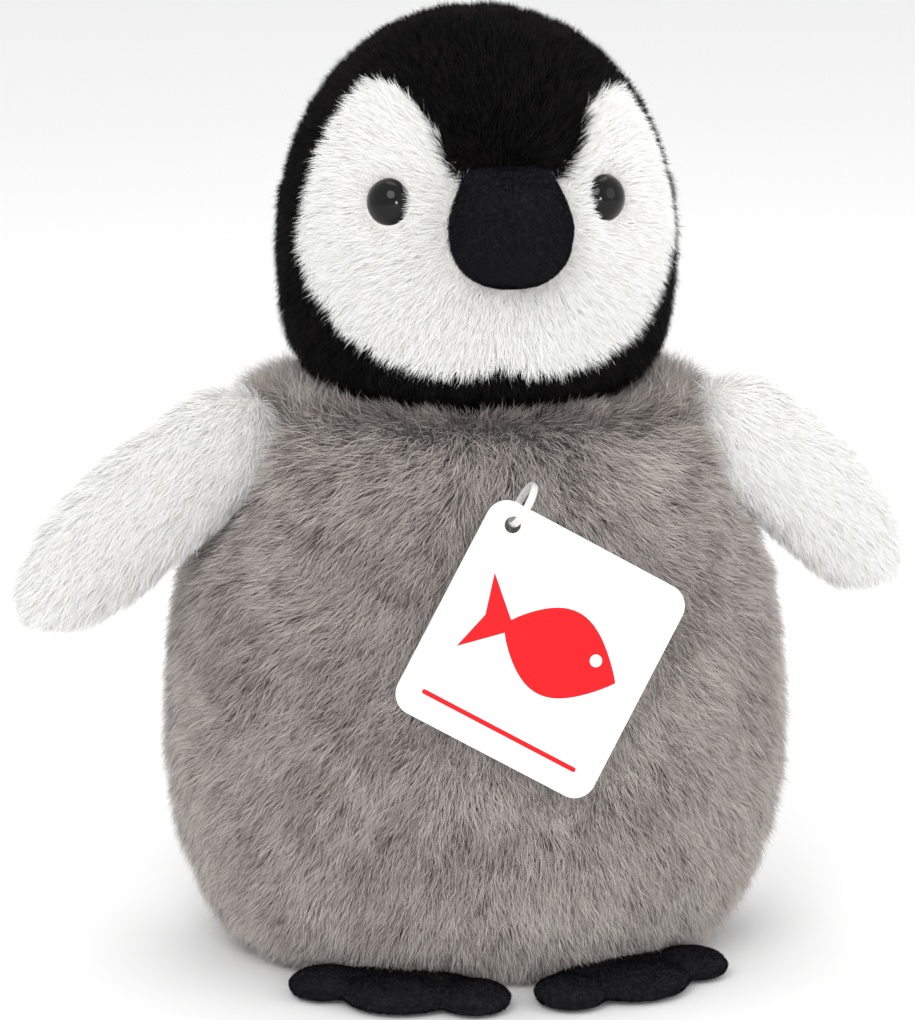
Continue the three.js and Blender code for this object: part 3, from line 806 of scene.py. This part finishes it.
def body_guard(points, length, lean):
    """Presses the pile down under the card, and shortens it beside the wings.

    Over the shoulders and at the base it is longer and stands up.
    """
    height = points[:, 2]
    rel = points - CARD_CENTRE
    x = np.abs(rel @ TAG_RIGHT) / MM - CARD_WIDTH / 2
    y = np.abs(rel @ TAG_UP) / MM - CARD_HEIGHT / 2
    beyond = np.maximum(np.maximum(x, y), 0)
    near = (rel @ TAG_OUT) > CARD_NEAR
    press = ramp(beyond, *CARD_REACH) * near * (points[:, 1] < AXIS[1])
    beside = np.abs(points[:, 0] - AXIS[0])
    shoulder = ramp(height, *SHOULDER_RISE) * ramp(beside, *SHOULDER_OUT)
    base = ramp(height, *BASE_DROP)
    length = length * (1 - 0.25 * press) * (1 + 0.5 * shoulder + 0.1 * base)
    by_wing = in_wing(points, 1, BY_WING_MARGIN) | in_wing(points, -1, BY_WING_MARGIN)
    length[by_wing & (height < BY_WING_TOP_Z)] *= 0.6
    return length, lean * (1 - 0.5 * press) * (1 + 0.45 * shoulder + 0.35 * base)


FLOW_START = AXIS + np.array([1, -44, 150]) * MM


def body_flow(points):
    """The pile lies away from a point above the chest in front, down at the back, and outward at the rim."""
    away = points - FLOW_START
    away[:, 1] *= 0.6
    away = unit(away)
    front = ramp(np.abs(azimuth(points)), *FRONT_DEG)[:, None]
    down = np.array([0, 0, -1.0])
    rel = points - AXIS
    outward = unit(rel * (1, 1, 0))
    flow = front * (away * (1.8, 1, 1) + 0.1 * down) + (1 - front) * (down + 0.1 * outward)
    rim = ramp(points[:, 2], *RIM_RISE)[:, None]
    beside = ramp(np.abs(rel[:, [0]]), *RIM_OUT)
    flow = flow * (1 - rim) + rim * (outward + (0.7 - 0.9 * beside) * down)
    swirl = (0.45 * wave(points, 55, 1) + 0.55 * wave(points, 140, 8))[:, None]
    return flow + swirl * np.cross(flow, outward)


body_skin = ring_skin("body_skin", BODY_SIDE, 96, lambda v: v * MM + AXIS)
body_skin.data.materials.append(GREY_BACKING)
stuff(body_skin, off_body_seam)
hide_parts("belly_panel", "back_panel_left", "back_panel_right")
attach(body_skin, "body")

points, normals = scatter(body_skin, 6.6, 11)
from_axis = np.hypot(points[:, 0] - AXIS[0], points[:, 1] - AXIS[1])
keep = (points[:, 2] > BASE_BARE_Z) & ~((points[:, 2] > NECK_BARE_Z) & (from_axis < NECK_BARE_R))
keep &= ~in_wing(points, 1, IN_WING_MARGIN) & ~in_wing(points, -1, IN_WING_MARGIN)
points, normals = points[keep], normals[keep]
tone = 0.56 + 0.14 * wave(points, 60, 2) + 0.16 * wave(points, 200, 3)
tone += np.random.default_rng(5).normal(0, 0.14, len(points))
# The pile is a little lighter behind the side seams. Painted light at the shoulders and the base: the pile is
# made lighter there to lift the shade that falls under the head and low down by the floor.
tone += 0.1 * ramp(np.abs(azimuth(points)), SIDE_SEAM_DEG, SIDE_SEAM_DEG + 10)
tone += 0.14 * ramp(points[:, 2], 0.1, 0.115)
tone += 0.07 * ramp(points[:, 2], 0.04, 0.01)
BODY_LOOK = {"length": 8.6, "width": 0.145, "lean": 56, "rows": 2, "tuft": 0.012, "pull": 0.14, "messy": 0.16,
             "stray": 0.32, "waves": 0.32, "wave_scale": 150, "seed": 21}
made = pile("body_pile", points, normals, body_flow(points), BODY_LOOK, GREY, tone, body_guard, True)
ride_all(made, "body")

# ---- neck: the black backing cloth turns in under the head and is sewn into the top of the body; its near-black is also painted shade in the gap between head and body
NECK_SIDE = [
    (114.5, 20, 19.5), (115.5, 23, 22.4), (117.5, 24.4, 23.8),
    (120, 24.2, 23.6), (122.4, 23, 22.4), (124, 20, 19.4),
]
neck_cloth_and_shade = ring_skin("neck_cloth_and_shade", NECK_SIDE, 64, lambda v: v * MM + AXIS)
neck_cloth_and_shade.data.materials.append(BLACK_BACKING)
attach(neck_cloth_and_shade, "neck")

# ---- head
# Outline of the white face on each side: distance from the middle, height.
FACE_LOW = [
    (-1, 133), (0, 133), (3, 131.4), (7, 130.6), (14, 130.8), (21, 132.6),
    (30, 138), (35, 145.5), (37.6, 152), (70, 155), (70, 181),
]
FACE_HIGH = {
    -1: [(34, 183.5), (29, 186.5), (23.5, 187.4), (18.6, 186), (15, 182.6), (11.4, 177), (9.8, 171.5)],
    1: [
        (35, 180), (31.4, 183), (26, 184.6), (21.5, 183.8),
        (18.4, 181.4), (17, 178), (16, 174.6), (13, 171),
    ],
}
FACE_TOP = [(0, 162), (-1, 162)]
FACE_OUTLINE = {side: np.array(FACE_LOW + high + FACE_TOP) for side, high in FACE_HIGH.items()}
FACE_BACK = {-1: -13, 1: -8}


def is_white(points):
    """True on the white face, whose edge is a little ragged."""
    ragged = 0.6 * wave(points, 300, 7)
    x = (points[:, 0] - AXIS[0]) / MM
    z = points[:, 2] / MM + ragged
    found = np.zeros(len(points), bool)
    for side, outline in FACE_OUTLINE.items():
        in_front = points[:, 1] < HEAD_AXIS[1] + (FACE_BACK[side] + ragged) * MM
        found |= (x * side >= 0) & inside(outline, x * side + ragged, z) & in_front
    return found


def off_head_seam(spots):
    """Distance to the gusset seams, the back of the face and the collar seam."""
    rel = spots - HEAD_AXIS
    gusset = np.where(rel[:, 2] > GUSSET_LOW_Z * MM, np.abs(np.abs(rel[:, 0]) - GUSSET_HALF * MM), 1)
    face = np.abs(rel[:, 1] - FACE_SEAM_Y * MM)
    collar = np.abs(rel[:, 2] - COLLAR_SEAM_Z * MM)
    return np.min([gusset, face, collar], axis=0)


head_skin = ring_skin("head_skin", HEAD_SIDE, 96, lambda v: v * MM + HEAD_AXIS)
head_skin.data.materials.append(BLACK_BACKING)
head_skin.data.materials.append(WHITE_BACKING)
stuff(head_skin, off_head_seam)
centres = np.array([polygon.center for polygon in head_skin.data.polygons])
head_skin.data.polygons.foreach_set("material_index", is_white(centres).astype(np.int32))
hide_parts("crown_panel", "head_side_left", "head_side_right",
            "face_panel_left", "face_panel_right", "collar_band")
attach(head_skin, "head")

# ---- beak
# The rings' last number is the sideways lean of the soft beak.
BEAK_SIDE = [
    (148.4, 3.6, 4.2, 1.5), (149.1, 6.2, 6.6, 1.5), (150.8, 9, 9.6, 1.5), (153.8, 11.3, 12, 1.5),
    (157.5, 12.3, 13.2, 1.5), (161, 12.4, 13.4, 1.5), (164.5, 11.5, 12.8, 1.4), (167.3, 10.3, 11.2, 1.3),
    (169.4, 9.3, 8.6, 1.2), (171, 8.2, 5.4, 1.1), (172, 5.6, 2.6, 1),
]
BEAK_Y = -37.5
BEAK_PILE_Y = -36
BEAK_ROOT_Y = -25
BEAK_JOINED_Z = 168.8  # above it the beak goes over into the crown
BEAK_MIDDLE = HEAD_AXIS + np.array([1.5, BEAK_Y, 160.5]) * MM
BEAK_LOOK = {"length": 1.0, "width": 0.12, "lean": 55, "rows": 1, "tuft": 0.02, "pull": 0, "messy": 0.2,
             "stray": 0.4, "waves": 0.15, "wave_scale": 300, "seed": 32}
BEAK_SQUARENESS = 2.2
beak_skin = ring_skin("beak_skin", BEAK_SIDE, 64, lambda v: (v + np.array([0, BEAK_Y, 0])) * MM + HEAD_AXIS,
                      BEAK_SQUARENESS)
beak_skin.data.materials.append(VELOUR_BACKING)
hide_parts("beak_cover")
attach(beak_skin, "head")
points, normals = scatter(beak_skin, 34, 60)
keep = points[:, 1] < HEAD_AXIS[1] + BEAK_PILE_Y * MM
points, normals = points[keep], normals[keep]
tone = 0.5 + 0.15 * wave(points, 200, 10) + np.random.default_rng(10).normal(0, 0.25, len(points))
flow = points - BEAK_MIDDLE + np.array([0, 0, -4 * MM])
made = pile("beak_pile", points, normals, flow, BEAK_LOOK, VELOUR, tone)
ride_all(made, "head")


def beside_beak(points, grow):
    """True over the patch of the head that the beak covers, grown by the given millimetres."""
    table = np.array(BEAK_SIDE)
    half = np.interp(points[:, 2] / MM, table[:, 0], table[:, 1], left=0, right=0) + grow
    level = (points[:, 2] / MM > table[0, 0] - grow) & (points[:, 2] / MM < BEAK_JOINED_Z)
    in_front = points[:, 1] < HEAD_AXIS[1] + BEAK_ROOT_Y * MM
    return (np.abs(points[:, 0] - BEAK_MIDDLE[0]) / MM < half) & level & in_front


# ---- eyes
EYE_R, EYE_HIGH, EYE_SEAT = 5.0, 4.0, -0.7
EYE_DEG, EYE_Z, EYE_REACH = 37, 164.5, 37.3
GLOSS = plain("black_gloss", (0.003, 0.0028, 0.003), 0.05, Specular_IOR_Level=0.25)
EYES = []
for name, side in (("left", 1), ("right", -1)):
    angle = math.radians(side * EYE_DEG)
    out = np.array([math.sin(angle), -math.cos(angle), 0])
    seat = HEAD_AXIS + out * EYE_REACH * MM + np.array([0, 0, EYE_Z * MM])
    EYES.append(seat)
    level = np.cross(np.array([0, 0, 1.0]), out)
    tilt = np.column_stack([level, np.array([0, 0, 1.0]), out])
    dome = [(EYE_SEAT - 0.5, EYE_R * 0.9, EYE_R * 0.9), (EYE_SEAT, EYE_R, EYE_R)]
    for k in range(1, 13):
        rise = math.pi / 2 * k / 12.5
        dome.append((EYE_SEAT + EYE_HIGH * math.sin(rise), EYE_R * math.cos(rise), EYE_R * math.cos(rise)))
    eye = ring_skin(f"eye_{name}_dome", dome, 48, lambda v: (v @ tilt.T) * MM + seat)
    eye.data.materials.append(GLOSS)
    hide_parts(f"eye_{name}")
    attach(eye, "head")


def off_eyes(points):
    """Distance to the nearer eye's middle."""
    return np.min([np.linalg.norm(points - eye, axis=1) for eye in EYES], axis=0)


def around_eyes(points, length, lean):
    """Shortens the pile next to the eyes, and stands it up a little."""
    close = ramp(off_eyes(points), 8 * MM, 5 * MM)
    return length * (1 - 0.5 * close), lean * (1 + 0.3 * close)


def face_flow(points):
    """The white pile lies away from the beak, and away from each eye close to it."""
    away = points - BEAK_MIDDLE
    away[:, 1] = 0
    nearest = np.array(EYES)[np.argmin([np.linalg.norm(points - eye, axis=1) for eye in EYES], axis=0)]
    around = ramp(off_eyes(points), 9 * MM, 0)[:, None]
    flow = unit(away) + np.array([0, 0, -0.12]) + 1.2 * around * unit(points - nearest)
    return flow + 0.25 * wave(points, 90, 12)[:, None] * np.cross(flow, np.array([0, -1.0, 0]))


def crown_flow(points):
    """The black pile lies back from the peak over the beak, and down on the lower head."""
    rel = points - (HEAD_AXIS + np.array([0, -30, 166]) * MM)
    down = np.array([0, 0, -1.0])
    side = np.sign(rel[:, [0]]) * np.array([1.0, 0, 0])
    high = ramp(points[:, 2], 0.150, 0.180)[:, None]
    front = ramp(HEAD_AXIS[1] - points[:, 1], 0, 0.02)[:, None]
    top = unit(rel) + np.array([0, 0.5, 0]) - 0.3 * down * front
    low = down + np.array([0, 0.25, 0]) + 0.15 * side
    flow = high * top + (1 - high) * low
    return flow + 0.3 * wave(points, 80, 13)[:, None] * np.cross(flow, unit(points - HEAD_AXIS))


HEAD_BARE_Z, HEAD_BARE_R = 0.1228, 0.024  # the underside that rests on the neck cloth
UNDER_BEAK, BY_BEAK = -0.6, 1.4
UNDER_EYE = 4.9 * MM
BY_BEAK_STRAY, FACE_STRAY = 1.6, 0.3
points, normals = scatter(head_skin, 11, 12)
white = is_white(points)
keep = ~beside_beak(points, UNDER_BEAK) & (off_eyes(points) > UNDER_EYE)
from_axis = np.linalg.norm((points - HEAD_AXIS)[:, :2], axis=1)
keep &= ~((points[:, 2] < HEAD_BARE_Z) & (from_axis < HEAD_BARE_R))
chosen = keep & ~white
tone = 0.45 + 0.2 * wave(points[chosen], 90, 4) + np.random.default_rng(6).normal(0, 0.22, chosen.sum())
BLACK_LOOK = {"length": 5.6, "width": 0.13, "lean": 56, "rows": 2, "tuft": 0.015, "pull": 0.22, "messy": 0.2,
              "stray": 0.3, "waves": 0.3, "wave_scale": 160, "seed": 22}
flow = crown_flow(points[chosen])
made = pile("crown_pile", points[chosen], normals[chosen], flow, BLACK_LOOK, BLACK, tone)
ride_all(made, "head")
chosen = keep & white
tone = 0.72 + 0.12 * wave(points[chosen], 90, 4) + np.random.default_rng(7).normal(0, 0.16, chosen.sum())
stray = np.where(beside_beak(points[chosen], BY_BEAK), BY_BEAK_STRAY, FACE_STRAY)
FACE_LOOK = {"length": 4.6, "width": 0.115, "lean": 52, "rows": 2, "tuft": 0.02, "pull": 0.12, "messy": 0.12,
             "stray": stray, "waves": 0.15, "wave_scale": 130, "seed": 23}
flow = face_flow(points[chosen])
made = pile("face_pile", points[chosen], normals[chosen], flow, FACE_LOOK, WHITE, tone, around_eyes)
ride_all(made, "head")

# ---- pieces inside, which keep their solid shapes
WADDING = textile("wadding", (0.7, 0.7, 0.68), (0.85, 0.85, 0.83), 250, bump=0.6)
POUCH = textile("pellet_pouch", (0.45, 0.42, 0.36), (0.6, 0.57, 0.5), 1200, bump=0.4)
CALICO = textile("grey_cloth", (0.10, 0.09, 0.085), (0.2, 0.18, 0.17), 1400, bump=0.4)
WASHER = textile("washer_nylon", (0.55, 0.55, 0.54), (0.62, 0.62, 0.6), 80, 0.4, bump=0.05, sheen=0)
for node, thing in frame["nodes"].items():
    if node == "base_panel":
        cover = CALICO
    elif node == "pellet_bag":
        cover = POUCH
    elif "washer" in node:
        cover = WASHER
    else:
        cover = WADDING
    thing.data.materials.clear()
    thing.data.materials.append(cover)

set_stage()
